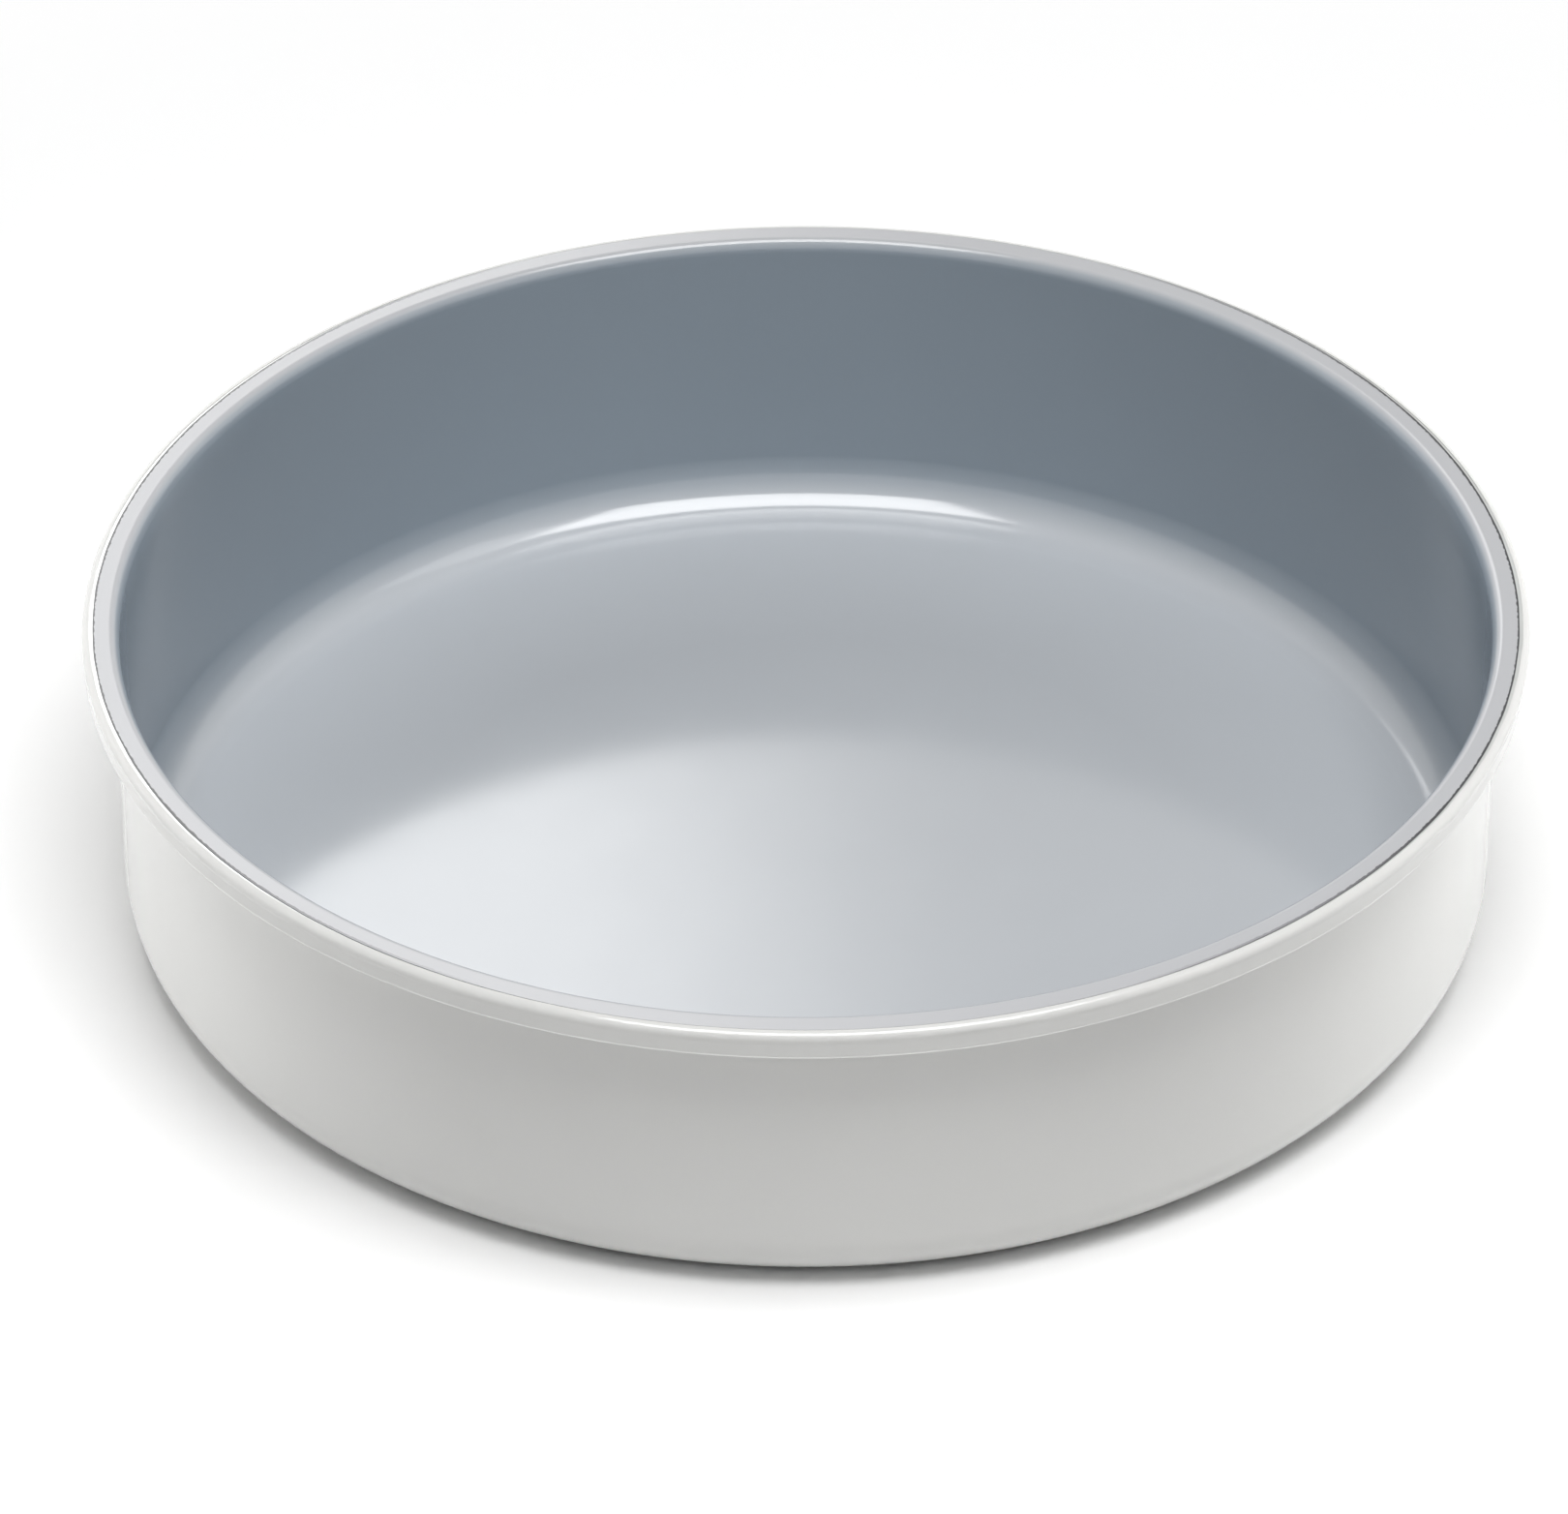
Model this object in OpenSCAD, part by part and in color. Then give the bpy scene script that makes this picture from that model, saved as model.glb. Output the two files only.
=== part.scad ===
// Round cake pan, drawn from one steel sheet whose rim is folded over a wire,
// with a ceramic coating inside and a paler coating outside. Millimetres.
// The origin is the centre of the underside, and +Z points up out of the mouth.

/* [Pan] */
// Width across the inside, from wall to wall
mouth_d = 228.6; // [180:0.1:300]
// Height from the underside to the top of the brim
pan_h = 55; // [35:1:90]
// Radius of the inside corner between the floor and the wall
corner_r = 9; // [3:0.5:20]

/* [Sheet and coatings] */
// Thickness of the steel sheet
sheet_t = 0.8; // [0.5:0.1:1.2]
// Thickness of each coating
coat_t = 0.1; // [0.08:0.01:0.15]

/* [Rim] */
// Width of the rim, from the inside of the wall to the outside of the skirt
rim_w = 6.2; // [5:0.1:9]
// Height of the rim's skirt
skirt_h = 5; // [4.5:0.1:8]
// Radius of the edge where the wall turns out into the flat brim
brim_edge_r = 1.4; // [0.8:0.1:2]
// Radius of the corner where the brim turns down into the skirt
rim_corner_r = 1.5; // [0.8:0.1:2]
// Radius of the corner where the skirt turns in under the rim
skirt_foot_r = 1; // [0.8:0.1:2]
// Gap between the sheet's raw edge and the wall
hem_gap = 0.3; // [0.2:0.1:0.8]
// Clearance between the wire and the sheet folded over it
wire_clearance = 0.1; // [0.05:0.05:0.2]

/* [Hidden] */
// Fineness of round forms
$fn = 128;
// Overrun of each cut past the surface that it leaves through
overrun = 1;

// The coated wall, and the depth of the sheet's far side under a coated face
wall_t = sheet_t + 2 * coat_t;
fold_t = sheet_t + coat_t;

// Radii of the wall and the rim, and the height of the rim's underside
mouth_r = mouth_d / 2;
wall_r = mouth_r + wall_t;
bare_wall_r = wall_r - coat_t;
rim_r = mouth_r + rim_w;
rim_foot_z = pan_h - skirt_h;

// Centres of the rounded corners in the section
corner_at = [mouth_r - corner_r, wall_t + corner_r];
brim_edge_at = [mouth_r + brim_edge_r, pan_h - brim_edge_r];
rim_corner_at = [rim_r - rim_corner_r, pan_h - rim_corner_r];
skirt_foot_at = [rim_r - skirt_foot_r, rim_foot_z + skirt_foot_r];

// Clear size of the hollow in the folded rim, and the wire in its middle
hollow_w = rim_r - fold_t - bare_wall_r;
hollow_h = skirt_h - 2 * fold_t;
wire_d = min(hollow_w, hollow_h) - 2 * wire_clearance;
wire_at = [bare_wall_r + hollow_w / 2, rim_foot_z + fold_t + hollow_h / 2];

// What a rounding of radius r takes off a square corner. The quarter is counted
// anticlockwise from the outer top one, and at is the rounding's centre.
module corner_waste(at, r, quarter)
    if (r > 0)
        translate(at)
            rotate(90 * quarter)
                difference() {
                    square(r + overrun);
                    circle(r);
                }

// The space inside the pan, grown by depth into the floor, corner and wall
module bowl_space(depth)
    difference() {
        translate([0, wall_t - depth])
            square([mouth_r + depth, pan_h]);
        corner_waste(corner_at, corner_r + depth, 3);
    }

// The corners of the folded rim, for a surface at that depth under the coating
module rim_corner_wastes(depth) {
    corner_waste(brim_edge_at, brim_edge_r - depth, 1);
    corner_waste(rim_corner_at, rim_corner_r - depth, 0);
    corner_waste(skirt_foot_at, skirt_foot_r - depth, 3);
}

// Section of the pan from the surface at that depth inwards, with the rim filled
module section(depth)
    difference() {
        union() {
            translate([0, depth])
                square([wall_r - depth, pan_h - 2 * depth]);
            translate([mouth_r, rim_foot_z + depth])
                square([rim_w - depth, skirt_h - 2 * depth]);
        }
        bowl_space(depth);
        rim_corner_wastes(depth);
        corner_waste(corner_at, corner_r + wall_t - depth, 3);
    }

// The hollow that the folded rim leaves for the wire
module rim_hollow()
    difference() {
        translate([bare_wall_r, rim_foot_z + fold_t])
            square([hollow_w, hollow_h]);
        rim_corner_wastes(fold_t);
    }

// The slit between the wall and the sheet's raw edge
module hem_slit()
    translate([bare_wall_r, rim_foot_z])
        square([hem_gap, fold_t + hollow_h / 2]);

// Both coatings together
module coatings()
    difference() {
        section(0);
        section(coat_t);
    }

// The side of the sheet that faces the food, out to the end of the flat brim
module inner_side() {
    bowl_space(wall_t / 2);
    translate([mouth_r, brim_edge_at.y])
        square([rim_corner_at.x - mouth_r, brim_edge_r + overrun]);
}

// Floor, corner, wall, brim, skirt and hem, drawn and folded from one sheet
module steel_shell()
    color("#b4b5b3")
        rotate_extrude()
            difference() {
                section(coat_t);
                rim_hollow();
                hem_slit();
            }

// Wire ring that the rim is folded over
module rim_wire()
    color("#8f9192")
        rotate_extrude()
            translate(wire_at)
                circle(d = wire_d);

// Blue-grey ceramic coating on the floor, corner, wall and flat brim
module inner_coating()
    color("#b9bfc6")
        rotate_extrude()
            intersection() {
                coatings();
                inner_side();
            }

// Warm white coating on the skirt, hem, wall, bottom corner and underside
module outer_coating()
    color("#e4e4e0")
        rotate_extrude()
            difference() {
                coatings();
                inner_side();
            }

steel_shell();
rim_wire();
inner_coating();
outer_coating();
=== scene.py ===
"""Round cake pan of coated sheet steel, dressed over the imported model. Lengths are metres.

The sheet and its two coatings are turned round the pan's axis, finely enough for clean
highlights. Their sections follow the solids, with an oval brim edge, a bead of coating round
the rim's corner and a hairline of bare steel between the coatings. A section is drawn in
(radius, height), and depth is how far a surface lies under the outside of the coatings.
"""

import math
import random
from collections import namedtuple

import bpy
from mathutils import Matrix, Quaternion, Vector


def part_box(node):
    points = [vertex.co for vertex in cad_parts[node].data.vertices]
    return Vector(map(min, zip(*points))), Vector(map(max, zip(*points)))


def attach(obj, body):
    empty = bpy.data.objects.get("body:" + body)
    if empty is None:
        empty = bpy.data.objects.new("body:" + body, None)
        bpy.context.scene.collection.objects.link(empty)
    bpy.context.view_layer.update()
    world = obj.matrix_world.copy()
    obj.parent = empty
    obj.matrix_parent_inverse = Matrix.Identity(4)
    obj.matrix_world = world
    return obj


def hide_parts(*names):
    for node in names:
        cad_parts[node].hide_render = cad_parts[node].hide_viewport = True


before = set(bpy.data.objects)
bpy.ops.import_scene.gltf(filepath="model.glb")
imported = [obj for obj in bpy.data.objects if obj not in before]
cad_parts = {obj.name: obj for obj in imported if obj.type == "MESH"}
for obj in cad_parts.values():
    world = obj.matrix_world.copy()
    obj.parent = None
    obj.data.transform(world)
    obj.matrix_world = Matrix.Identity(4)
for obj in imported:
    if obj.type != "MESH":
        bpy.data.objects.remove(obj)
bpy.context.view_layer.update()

# Sizes that the frame gives
SHELL_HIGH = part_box("steel_shell")[1]
INNER_LOW, INNER_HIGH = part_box("inner_coating")
OUTER_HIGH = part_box("outer_coating")[1]
PAN_H = INNER_HIGH.z
COAT_T = PAN_H - SHELL_HIGH.z
WALL_T = INNER_LOW.z + COAT_T
RIM_R = OUTER_HIGH.x
RIM_CORNER_R = RIM_R - INNER_HIGH.x

# Sizes of the section that the frame doesn't give
RIM_W = 0.0062
SKIRT_H = 0.005
CORNER_R = 0.009
BRIM_EDGE_W = 0.0018
BRIM_EDGE_H = 0.0024
SKIRT_FOOT_R = 0.001
HEM_GAP = 0.0003

# Bead of coating round the rim's outer corner: its height, how far it stands out from the
# skirt, and the height over which it runs down into the skirt
BEAD_H = 0.0012
BEAD_STEP = 0.0001
BEAD_RUN = 0.0009

# Radii and heights that follow
MOUTH_R = RIM_R - RIM_W
WALL_R = MOUTH_R + WALL_T
BARE_WALL_R = WALL_R - COAT_T
SKIRT_R = RIM_R - BEAD_STEP
RIM_FOOT_Z = PAN_H - SKIRT_H
FOLD_T = WALL_T - COAT_T
CORNER_AT = (MOUTH_R - CORNER_R, WALL_T + CORNER_R)
BRIM_EDGE_AT = (MOUTH_R + BRIM_EDGE_W, PAN_H - BRIM_EDGE_H)
BEAD_AT = (RIM_R - RIM_CORNER_R, PAN_H - BEAD_H)
SKIRT_FOOT_AT = (SKIRT_R - SKIRT_FOOT_R, RIM_FOOT_Z + SKIRT_FOOT_R)

# Hairline of bare steel between the coatings, wide at the pan's two sides along X and
# almost closed between them, and how far it wanders off its circle
HAIRLINE_W = 0.0005
HAIRLINE_THIN_W = 0.00006
WANDER = 0.00004

# Waves of the wander: how many round the rim, relative size and phase
WAVE_COUNTS = (3, 7, 19, 43, 71)
WAVE_SIZES = (0.3, 0.7)
WAVE_SEED = 11
RNG = random.Random(WAVE_SEED)
WAVES = [(count, RNG.uniform(*WAVE_SIZES), RNG.uniform(0, math.tau)) for count in WAVE_COUNTS]

# Fineness of the turned meshes, and the angle between faces that makes a sharp edge
SEGMENTS = 480
CORNER_STEPS = 22
SMALL_ARC_STEPS = 10
BEAD_RUN_STEPS = 6
SHARP_DEG = 40

# A noise over a surface: the width of its features, its octaves, its height where it is
# relief, and how much of each octave the next one keeps
Pattern = namedtuple("Pattern", "width octaves height roughness", defaults=(0, 0.5))

# The stretch in which most of a noise's values lie
NOISE_SPREAD = (0.3, 0.7)

# Patches of shade and gloss on both coatings, and how much darker and lighter the shades are
SHADE_PATCHES = Pattern(width=0.04, octaves=3)
GLOSS_PATCHES = Pattern(width=0.012, octaves=4)
SHADE = 0.01

# Inner coating. Gloss gives the least and the most roughness.
INNER_IOR = 1.6
INNER_GLOSS = (0.12, 0.15)
INNER_WAVE = Pattern(width=0.03, octaves=1, height=0.00004)
INNER_PEEL = Pattern(width=0.0007, octaves=2, height=0.000003)
FLOOR_COLOUR = (0.385, 0.403, 0.425)
# Upright faces take this darker, bluer copy of the floor's colour: painted shade
WALL_SHADE_COLOUR = (0.268, 0.319, 0.368)

# Paler colour in the floor's corner, a painted glow of light thrown back by the wall and the corner: the
# radius at which it begins on the floor, and the height at which it ends on the wall
CORNER_GLOW_COLOUR = (0.43, 0.45, 0.475)
CORNER_GLOW_R = 0.07
CORNER_GLOW_Z = 0.0055

# Brim, painted lighter than the coating inside as painted light in place of part of its reflection, with
# its own IOR, and the height under its top over which its finish comes in
BRIM_IOR = 1.35
BRIM_LIT_COLOUR = (0.44, 0.445, 0.46)
BRIM_FINISH_H = BRIM_EDGE_H / 4

# Painted shade: a dark ragged line at the inner coating's end beside the hairline, which shows only at
# the pan's two sides and grows between these distances along X
EDGE_SHADE_COLOUR = (0.06, 0.06, 0.063)
EDGE_LINE_W = 0.00028
EDGE_RAGGED = 0.0001
EDGE_GRAIN = Pattern(width=0.0009, octaves=2)
EDGE_SIDES = (0.05, 0.1)

# Outer coating
OUTER_IOR = 1.5
OUTER_GLOSS = (0.07, 0.10)
OUTER_WAVE = Pattern(width=0.04, octaves=1, height=0.00003)
OUTER_PEEL = Pattern(width=0.0009, octaves=2, height=0.0000015)
OUTER_COLOUR = (0.635, 0.635, 0.622)

# Painted highlight: a pale line along the skirt's foot, whole over this height and fading over as much
# again above and below
FOOT_HIGHLIGHT_COLOUR = (0.90, 0.90, 0.88)
FOOT_HIGHLIGHT_H = 0.0004

# Lumps in the bead, and how far under the brim's top they start and reach their full height
BEAD_LUMPS = Pattern(width=0.0022, octaves=1, height=0.00005)
LUMPS_START = 0.0016
LUMPS_FULL = 0.0007

# Bare sheet and wire, and what part of the colour is left in their dark streaks
STEEL_COLOUR = (0.56, 0.57, 0.56)
WIRE_COLOUR = (0.45, 0.46, 0.46)
STEEL_GLOSS = (0.28, 0.42)
STEEL_GLOSS_PATCHES = Pattern(width=0.012, octaves=3)
STREAKS = Pattern(width=0.0002, octaves=3, height=0.000002, roughness=0.6)
STREAK_SHADE = 0.86

# Places of the colour mix among a Mix node's sockets
MIX_FACTOR, MIX_FROM, MIX_TO, MIX_RESULT = 0, 6, 7, 2

# Camera, where the photo's outlines place it
CAMERA_AT = (0, -1.30925, 0.939338)
CAMERA_AIM = (-0.003703, 0, 0.023897)
CAMERA_ROLL_DEG = -0.1615
CAMERA_LENS = 217.62
SENSOR_W = 36

# Stage. The paper starts to turn white at the near distance and is white at the far one.
WHITE = (1, 1, 1)
AMBIENT = 0.03
PAPER_SIZE = 6.0
PAPER_DROP = 0.00005
PAPER_NEAR = 0.18
PAPER_FAR = 0.4
PAPER_COLOUR = (0.90, 0.90, 0.90)
LAMP_DISTANCE = 1.5

# Where the middle of a lamp's face lies between two of its edges
FACE_MIDDLE = 0.5


def arc(centre, width, height, start, end, count=SMALL_ARC_STEPS):
    """Points of part of a circle or oval, between two angles in degrees."""
    points = []
    for i in range(count + 1):
        angle = math.radians(start + (end - start) * i / count)
        points.append((centre[0] + width * math.cos(angle), centre[1] + height * math.sin(angle)))
    return points


def food_side(depth, brim_end):
    """The surface at that depth from the floor's middle up the wall to the brim's end."""
    return [
        (0, WALL_T - depth),
        *arc(CORNER_AT, CORNER_R + depth, CORNER_R + depth, -90, 0, CORNER_STEPS),
        *arc(BRIM_EDGE_AT, BRIM_EDGE_W - depth, BRIM_EDGE_H - depth, 180, 90),
        (brim_end, PAN_H - depth),
    ]


def bead_run(depth):
    """The surface at that depth where the bead runs down into the skirt."""
    points = []
    for i in range(1, BEAD_RUN_STEPS + 1):
        share = i / BEAD_RUN_STEPS
        ease = share * share * (3 - 2 * share)
        points.append((RIM_R - depth - BEAD_STEP * ease, BEAD_AT[1] - BEAD_RUN * share))
    return points


def rim_face(depth, start_deg):
    """The surface at that depth from that angle round the bead, down the skirt and in under it."""
    foot_r = SKIRT_FOOT_R - depth
    return [
        *arc(BEAD_AT, RIM_CORNER_R - depth, BEAD_H - depth, start_deg, 0),
        *bead_run(depth),
        *arc(SKIRT_FOOT_AT, foot_r, foot_r, 0, -90),
    ]


def wall_face(depth, top):
    """The surface at that depth from that height down the wall and to the underside's middle."""
    outside_r = CORNER_R + WALL_T - depth
    return [
        (WALL_R - depth, top),
        *arc(CORNER_AT, outside_r, outside_r, 0, -90, CORNER_STEPS),
        (0, depth),
    ]


def openness(angle):
    """How wide the hairline is open at that angle round the axis, from 0 to 1."""
    return math.cos(angle) ** 2


def wander(angle):
    """How far the hairline strays inwards from its circle at that angle round the axis."""
    return WANDER * sum(size * math.sin(count * angle + phase) for count, size, phase in WAVES)


def inner_section(angle):
    """Closed section of the inner coating at that angle round the axis."""
    edge = BEAD_AT[0] - openness(angle) * (HAIRLINE_W / 2 + wander(angle))
    return food_side(0, edge) + food_side(COAT_T, edge)[::-1]


def outer_section(angle):
    """Closed section of the outer coating at that angle round the axis."""
    gap = HAIRLINE_THIN_W + openness(angle) * (HAIRLINE_W / 2 - wander(angle))
    start = 90 - math.degrees(gap / RIM_CORNER_R)
    shown = rim_face(0, start) + wall_face(0, RIM_FOOT_Z)
    hidden = rim_face(COAT_T, start) + wall_face(COAT_T, RIM_FOOT_Z + COAT_T)
    return shown + hidden[::-1]


def rim_hollow():
    """The inside of the folded rim, from the sheet's raw edge round to the wall."""
    foot_r = SKIRT_FOOT_R - FOLD_T
    return [
        (BARE_WALL_R + HEM_GAP, RIM_FOOT_Z + FOLD_T),
        *arc(SKIRT_FOOT_AT, foot_r, foot_r, -90, 0),
        *arc(BEAD_AT, RIM_CORNER_R - FOLD_T, BEAD_H - FOLD_T, 0, 90),
        *arc(BRIM_EDGE_AT, BRIM_EDGE_W - FOLD_T, BRIM_EDGE_H - FOLD_T, 90, 180),
    ]


def shell_section(_angle):
    """Closed section of the folded steel sheet, which is the same all round."""
    return [
        *food_side(COAT_T, BEAD_AT[0]),
        *rim_face(COAT_T, 90)[1:],
        (BARE_WALL_R + HEM_GAP, RIM_FOOT_Z + COAT_T),
        *rim_hollow(),
        *wall_face(COAT_T, RIM_FOOT_Z),
    ]


def ring_points(section):
    """Vertices of the turned section and, for each angle, their numbers along the section.

    A point that lies on the axis is one vertex, which all the angles share.
    """
    verts = []
    rings = []
    for i in range(SEGMENTS):
        angle = math.tau * i / SEGMENTS
        ring = []
        for j, (radius, height) in enumerate(section(angle)):
            if radius == 0 and i > 0:
                ring.append(rings[0][j])
                continue
            ring.append(len(verts))
            verts.append((radius * math.cos(angle), radius * math.sin(angle), height))
        rings.append(ring)
    return verts, rings


def turned(name, section):
    """A closed section turned round the axis into a smooth mesh that faces outwards."""
    verts, rings = ring_points(section)
    faces = []
    for i, ring in enumerate(rings):
        following = rings[(i + 1) % SEGMENTS]
        for j in range(len(ring)):
            k = (j + 1) % len(ring)
            corners = [ring[j], ring[k], following[k], following[j]]
            face = list(dict.fromkeys(corners))
            if len(face) > 2:
                faces.append(face)
    mesh = bpy.data.meshes.new(name)
    mesh.from_pydata(verts, [], faces)
    mesh.validate()
    mesh.polygons.foreach_set("use_smooth", [True] * len(mesh.polygons))
    mesh.set_sharp_from_angle(angle=math.radians(SHARP_DEG))
    obj = placed(name, mesh)
    evened = obj.modifiers.new("even_normals", "WEIGHTED_NORMAL")
    evened.keep_sharp = True
    return obj


def placed(name, data):
    """A new object in the scene that holds that mesh, camera or lamp."""
    obj = bpy.data.objects.new(name, data)
    bpy.context.collection.objects.link(obj)
    return obj


class Nodes:
    """Short calls for building a node tree. A value may be a node's output or a plain one."""

    def __init__(self, tree):
        self.tree = tree

    def put(self, socket, value):
        """Links the socket to an output, or sets it to a number, vector or colour."""
        if isinstance(value, bpy.types.NodeSocket):
            self.tree.links.new(value, socket)
        elif socket.type == "RGBA":
            socket.default_value = (*value, 1)
        else:
            socket.default_value = value

    def add(self, kind, *first, **named):
        """A new node with values for its first inputs, in order, and for the named inputs."""
        node = self.tree.nodes.new("ShaderNode" + kind)
        for socket, value in zip(node.inputs, first):
            self.put(socket, value)
        for name, value in named.items():
            self.put(node.inputs[name], value)
        return node

    def axes(self, vector):
        """The three numbers of a vector."""
        return self.add("SeparateXYZ", vector).outputs

    def length(self, vector):
        """The length of a vector."""
        node = self.add("VectorMath", vector)
        node.operation = "LENGTH"
        return node.outputs["Value"]

    def maths(self, operation, *values):
        """What a Math node's operation gives for the values."""
        node = self.add("Math", *values)
        node.operation = operation
        return node.outputs[0]

    def ramp(self, value, start, end, low=0, high=1, easing="LINEAR"):
        """The value from start to end mapped onto low to high, and kept between them."""
        node = self.add("MapRange", value, start, end, low, high)
        node.interpolation_type = easing
        return node.outputs["Result"]

    def tint(self, share, dark, light):
        """The colour that lies that share of the way from dark to light."""
        node = self.add("Mix")
        node.data_type = "RGBA"
        for place, value in ((MIX_FACTOR, share), (MIX_FROM, dark), (MIX_TO, light)):
            self.put(node.inputs[place], value)
        return node.outputs[MIX_RESULT]

    def seen_by_eye(self):
        """1 for rays from the camera, a mirror or glass, and 0 for light that falls on things."""
        path = self.add("LightPath").outputs
        value = path["Is Camera Ray"]
        for name in ("Is Glossy Ray", "Is Transmission Ray"):
            value = self.maths("MAXIMUM", value, path[name])
        return value


class Finish(Nodes):
    """The node tree of one material round its shader. The surface starts without bumps."""

    def __init__(self, name):
        self.material = bpy.data.materials.new(name)
        self.material.use_nodes = True
        super().__init__(self.material.node_tree)
        self.shader = self.tree.nodes["Principled BSDF"]
        coordinates = self.add("TexCoord").outputs
        self.place = coordinates["Object"]
        self.facing = coordinates["Normal"]
        self.normal = None

    def set_input(self, name, value):
        """Gives that input of the shader a value."""
        self.put(self.shader.inputs[name], value)

    def radius(self):
        """The distance from the pan's axis."""
        x, y, _ = self.axes(self.place)
        return self.length(self.add("CombineXYZ", x, y).outputs[0])

    def noise(self, pattern, place=None):
        """That pattern's values, from 0 to 1, over the surface or over other coordinates."""
        node = self.add("TexNoise", place or self.place, Detail=pattern.octaves)
        self.put(node.inputs["Scale"], 1 / pattern.width)
        self.put(node.inputs["Roughness"], pattern.roughness)
        return node.outputs["Fac"]

    def patches(self, pattern, low=0, high=1):
        """That pattern as clear patches with values from low to high."""
        return self.ramp(self.noise(pattern), *NOISE_SPREAD, low, high)

    def shaded(self, patches, colour):
        """The colour, a shade darker and lighter in patches."""
        dark = [c * (1 - SHADE) for c in colour]
        light = [c * (1 + SHADE) for c in colour]
        return self.tint(patches, dark, light)

    def bump(self, value, height):
        """Bends the surface by a value from 0 to 1 times that height, over its earlier bumps."""
        node = self.add("Bump", Strength=1, Distance=height, Height=value)
        if self.normal is not None:
            self.put(node.inputs["Normal"], self.normal)
        self.normal = node.outputs["Normal"]
        self.set_input("Normal", self.normal)


def fired_coating(name, ior, gloss, wave, peel):
    """The finish of a coating with patches of gloss, broad waves and fine orange peel."""
    n = Finish(name)
    n.set_input("IOR", ior)
    n.set_input("Roughness", n.patches(GLOSS_PATCHES, *gloss))
    n.bump(n.noise(wave), wave.height)
    n.bump(n.noise(peel), peel.height)
    return n


def inner_ceramic():
    """The inner coating: darker where it is upright, as painted shade, pale in the corner as a painted
    glow, lighter on the brim as painted light and dark at its end as painted shade.
    """
    n = fired_coating("inner_ceramic", INNER_IOR, INNER_GLOSS, INNER_WAVE, INNER_PEEL)
    patches = n.patches(SHADE_PATCHES)
    x, _, height = n.axes(n.place)
    radius = n.radius()

    # Painted shade: upright faces take the darker wall colour, faces that point up take the floor's
    lit_share = n.ramp(n.axes(n.facing)[2], 0, 1)
    colour = n.tint(lit_share, n.shaded(patches, WALL_SHADE_COLOUR), n.shaded(patches, FLOOR_COLOUR))

    # Painted glow of thrown-back light in the floor's corner
    near_corner = n.ramp(radius, CORNER_GLOW_R, CORNER_AT[0])
    below_wall = n.ramp(height, WALL_T, CORNER_GLOW_Z, 1, 0)
    corner_glow = n.maths("MULTIPLY", near_corner, below_wall)
    colour = n.tint(corner_glow, colour, n.shaded(patches, CORNER_GLOW_COLOUR))

    # The brim's lighter colour is painted light
    brim = n.ramp(height, PAN_H - BRIM_FINISH_H, PAN_H)
    colour = n.tint(brim, colour, n.shaded(patches, BRIM_LIT_COLOUR))
    n.set_input("IOR", n.ramp(brim, 0, 1, INNER_IOR, BRIM_IOR))

    # Painted shade along the coating's end, at the pan's two sides only
    edge_r = BEAD_AT[0] - HAIRLINE_W / 2 - EDGE_LINE_W
    ragged_r = n.maths("ADD", radius, n.patches(EDGE_GRAIN, -EDGE_RAGGED, EDGE_RAGGED))
    edge = n.ramp(ragged_r, edge_r - EDGE_RAGGED, edge_r)
    shaded_sides = n.ramp(n.maths("ABSOLUTE", x), *EDGE_SIDES)
    n.set_input("Base Color", n.tint(n.maths("MULTIPLY", edge, shaded_sides), colour, EDGE_SHADE_COLOUR))
    return n.material


def outer_enamel():
    """The outer coating, which has dried in an uneven bead round the rim's corner, with a painted
    highlight along the skirt's foot.
    """
    n = fired_coating("outer_enamel", OUTER_IOR, OUTER_GLOSS, OUTER_WAVE, OUTER_PEEL)
    height = n.axes(n.place)[2]

    # Painted highlight along the skirt's foot
    above = n.ramp(height, RIM_FOOT_Z - FOOT_HIGHLIGHT_H, RIM_FOOT_Z)
    below = n.ramp(height, RIM_FOOT_Z + FOOT_HIGHLIGHT_H, RIM_FOOT_Z + 2 * FOOT_HIGHLIGHT_H, 1, 0)
    foot_highlight = n.maths("MULTIPLY", above, below)
    shaded = n.shaded(n.patches(SHADE_PATCHES), OUTER_COLOUR)
    n.set_input("Base Color", n.tint(foot_highlight, shaded, FOOT_HIGHLIGHT_COLOUR))

    near_top = n.ramp(height, PAN_H - LUMPS_START, PAN_H - LUMPS_FULL)
    n.bump(n.maths("MULTIPLY", n.noise(BEAD_LUMPS), near_top), BEAD_LUMPS.height)
    return n.material


def bare_metal(name, colour):
    """Steel with fine streaks round the axis, as drawing leaves them."""
    n = Finish(name)
    n.set_input("Metallic", 1)
    height = n.axes(n.place)[2]
    streaks = n.noise(STREAKS, n.add("CombineXYZ", X=n.radius(), Z=height).outputs[0])
    dark = [c * STREAK_SHADE for c in colour]
    n.set_input("Base Color", n.tint(n.ramp(streaks, *NOISE_SPREAD), dark, colour))
    n.set_input("Roughness", n.patches(STEEL_GLOSS_PATCHES, *STEEL_GLOSS))
    n.bump(streaks, STREAKS.height)
    return n.material


def dress():
    """Puts the turned pieces over their nodes and gives every node its finish."""
    steel = bare_metal("bare_steel", STEEL_COLOUR)
    pieces = (
        ("pan_inner_coating", inner_section, inner_ceramic(), "inner_coating", "inner_ceramic"),
        ("pan_outer_coating", outer_section, outer_enamel(), "outer_coating", "outer_enamel"),
        ("pan_steel_shell", shell_section, steel, "steel_shell", "bare_steel"),
    )
    for name, section, material, node, slot in pieces:
        piece = turned(name, section)
        piece.data.materials.append(material)
        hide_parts(node)
        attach(piece, "root")
    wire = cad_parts["rim_wire"]
    wire.data.materials.clear()
    wire.data.materials.append(bare_metal("wire", WIRE_COLOUR))


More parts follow.
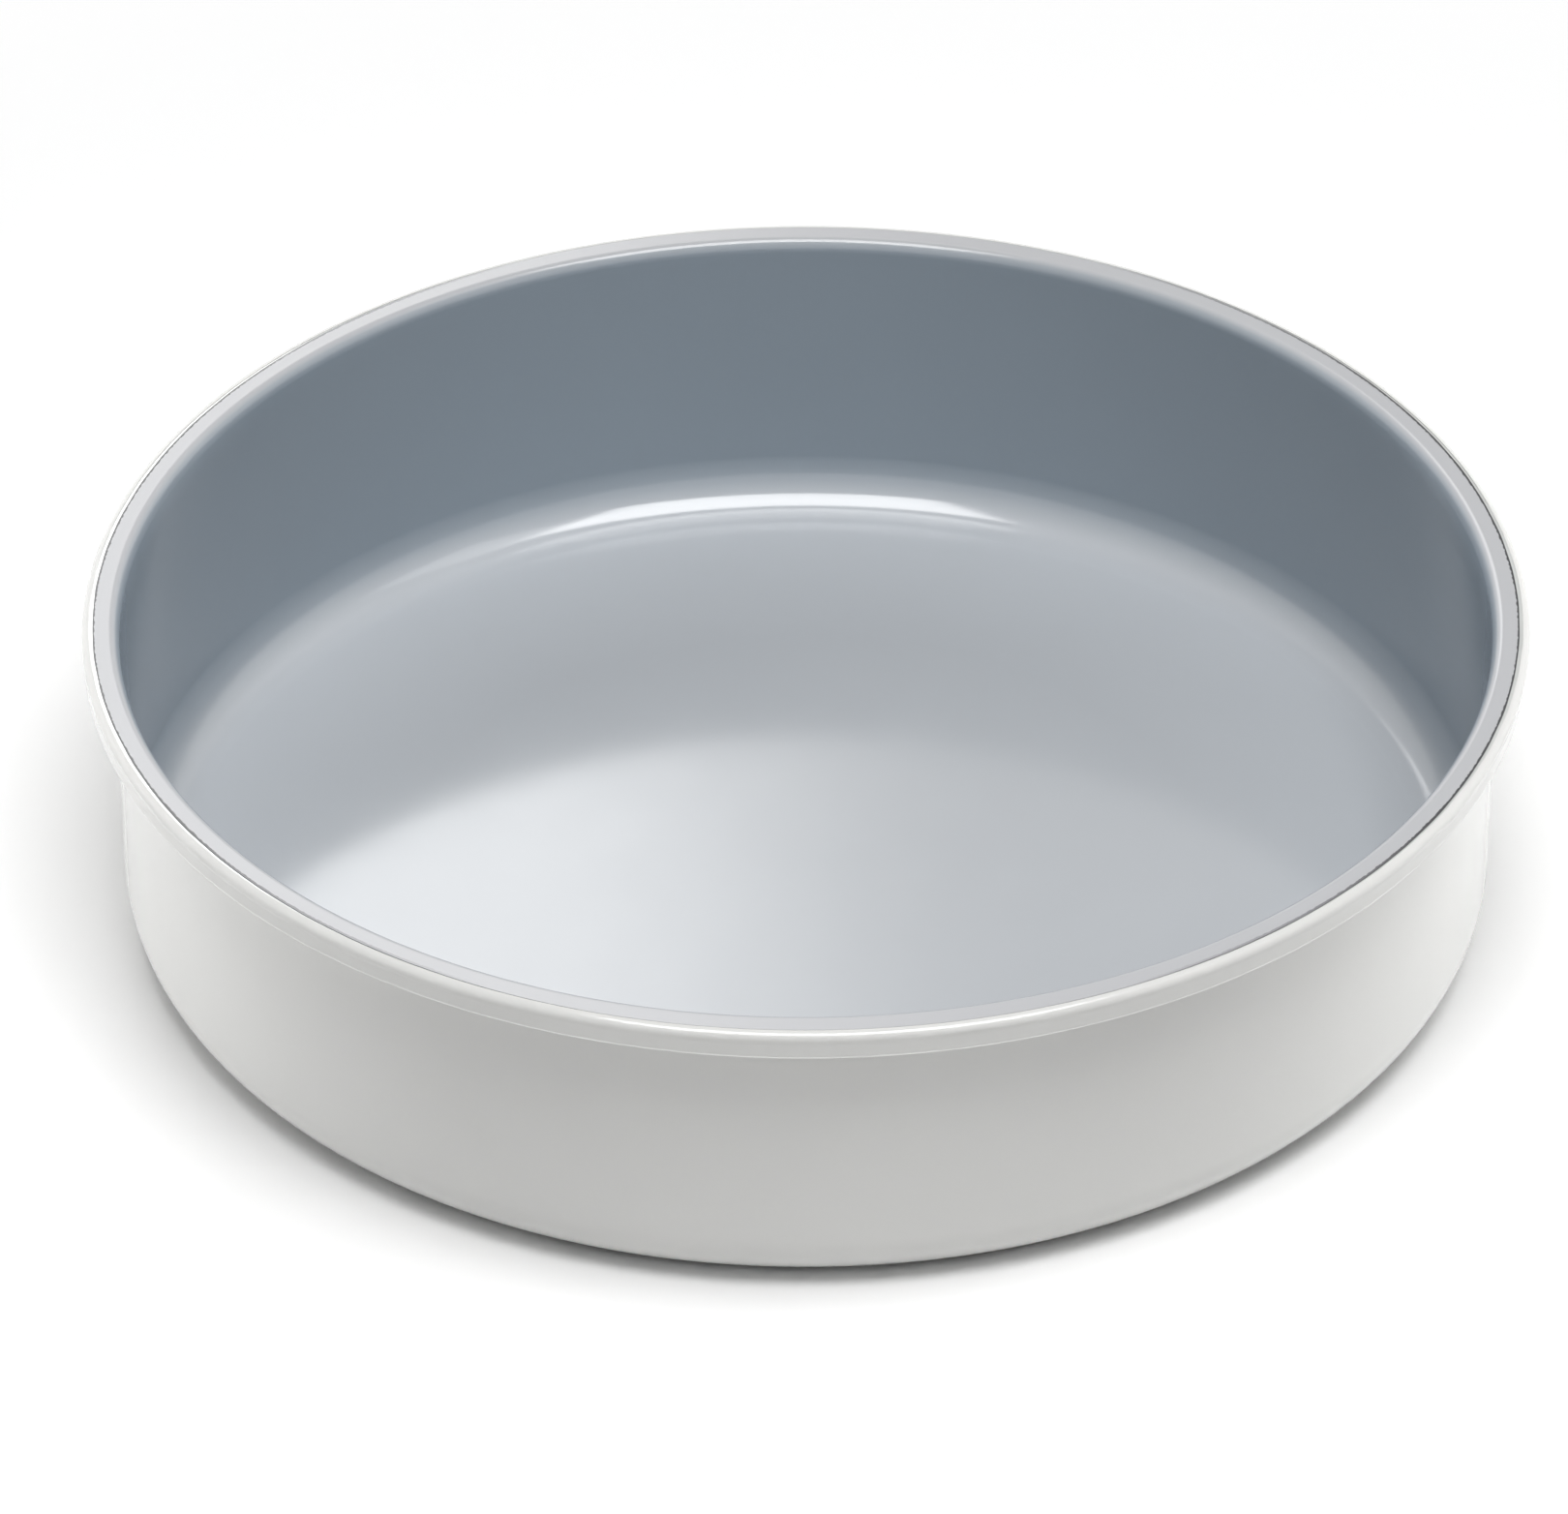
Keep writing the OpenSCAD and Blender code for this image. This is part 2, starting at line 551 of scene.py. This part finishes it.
def set_camera():
    """The photo's camera, turned a little about its line of sight."""
    data = bpy.data.cameras.new("camera")
    data.lens = CAMERA_LENS
    data.sensor_width = SENSOR_W
    camera = placed("camera", data)
    look = Vector(CAMERA_AIM) - Vector(CAMERA_AT)
    turn = look.to_track_quat("-Z", "Y").to_matrix().to_4x4()
    roll = Matrix.Rotation(math.radians(CAMERA_ROLL_DEG), 4, "Z")
    camera.matrix_world = Matrix.Translation(CAMERA_AT) @ turn @ roll
    bpy.context.scene.camera = camera


def set_world():
    """Surroundings that are white to look at and light the pan only faintly."""
    world = bpy.data.worlds.new("studio")
    bpy.context.scene.world = world
    world.use_nodes = True
    n = Nodes(world.node_tree)
    n.tree.nodes.clear()
    ambient = n.add("Background", WHITE, AMBIENT).outputs[0]
    white = n.add("Background", WHITE, 1).outputs[0]
    n.add("OutputWorld", n.add("MixShader", n.seen_by_eye(), ambient, white).outputs[0])


def floor_paper():
    """Matt paper, which away from the pan turns to the same white as the world to look at."""
    material = bpy.data.materials.new("floor_paper")
    material.use_nodes = True
    n = Nodes(material.node_tree)
    n.tree.nodes.clear()
    distance = n.length(n.add("TexCoord").outputs["Object"])
    far = n.ramp(distance, PAPER_NEAR, PAPER_FAR, easing="SMOOTHSTEP")
    paper = n.add("BsdfDiffuse", PAPER_COLOUR).outputs[0]
    white = n.add("Emission", WHITE, 1).outputs[0]
    share = n.maths("MULTIPLY", far, n.seen_by_eye())
    n.add("OutputMaterial", n.add("MixShader", share, paper, white).outputs[0])
    return material


def set_floor():
    """A square of paper under the pan."""
    half = PAPER_SIZE / 2
    corners = ((-half, -half), (half, -half), (half, half), (-half, half))
    mesh = bpy.data.meshes.new("floor")
    mesh.from_pydata([(x, y, -PAPER_DROP) for x, y in corners], [], [(0, 1, 2, 3)])
    mesh.materials.append(floor_paper())
    placed("floor", mesh)


def fade_edges(data, fade):
    """Lets a lamp's brightness fall off smoothly over that share of each half of its face."""
    data.use_nodes = True
    n = Nodes(data.node_tree)
    across, along, _ = n.axes(n.add("NewGeometry").outputs["Parametric"])
    shares = []
    for place in (across, along):
        inset = n.maths("PINGPONG", place, FACE_MIDDLE)
        shares.append(n.ramp(inset, 0, fade * FACE_MIDDLE, easing="SMOOTHSTEP"))
    n.put(n.tree.nodes["Emission"].inputs["Strength"], n.maths("MULTIPLY", *shares))


def softbox(name, azimuth, elevation, width, height, radiance, fade=0.3, turn=0, mirrored=True):
    """An area lamp that faces the pan, with that radiance over the middle of its face.

    The azimuth runs from straight behind the pan to the right. Angles are degrees, width and
    height too, as the pan sees them, and turn is about the lamp's own axis. The coatings
    mirror the lamp or, where mirrored is False, only take its light.
    """
    az = math.radians(azimuth)
    el = math.radians(elevation)
    direction = Vector((math.sin(az) * math.cos(el), math.cos(az) * math.cos(el), math.sin(el)))
    data = bpy.data.lights.new(name, "AREA")
    data.shape = "RECTANGLE"
    data.size = 2 * LAMP_DISTANCE * math.tan(math.radians(width / 2))
    data.size_y = 2 * LAMP_DISTANCE * math.tan(math.radians(height / 2))
    data.energy = radiance * math.pi * data.size * data.size_y
    fade_edges(data, fade)
    lamp = placed(name, data)
    facing = direction.to_track_quat("Z", "Y") @ Quaternion((0, 0, 1), math.radians(turn))
    lamp.matrix_world = Matrix.Translation(direction * LAMP_DISTANCE) @ facing.to_matrix().to_4x4()
    lamp.visible_camera = False
    lamp.visible_glossy = mirrored


def set_lights():
    """A large lamp overhead, a soft one behind, two weak fills and a low strip on either side."""
    softbox("overhead", azimuth=165, elevation=76, width=42, height=31, radiance=8.4, fade=0.12, turn=-15)
    softbox("back_left", azimuth=-14, elevation=36, width=27, height=26, radiance=4.0, fade=0.45)
    softbox("right_high", azimuth=95, elevation=58, width=24, height=24, radiance=1.5)
    softbox("front_high", azimuth=180, elevation=48, width=60, height=20, radiance=1.5, mirrored=False)
    softbox("left_strip", azimuth=-60, elevation=2.2, width=36, height=4, radiance=84, mirrored=False)
    softbox("right_strip", azimuth=60, elevation=2.2, width=36, height=4, radiance=74, mirrored=False)


dress()
set_camera()
set_world()
set_floor()
set_lights()
bpy.context.scene.view_settings.view_transform = "Standard"
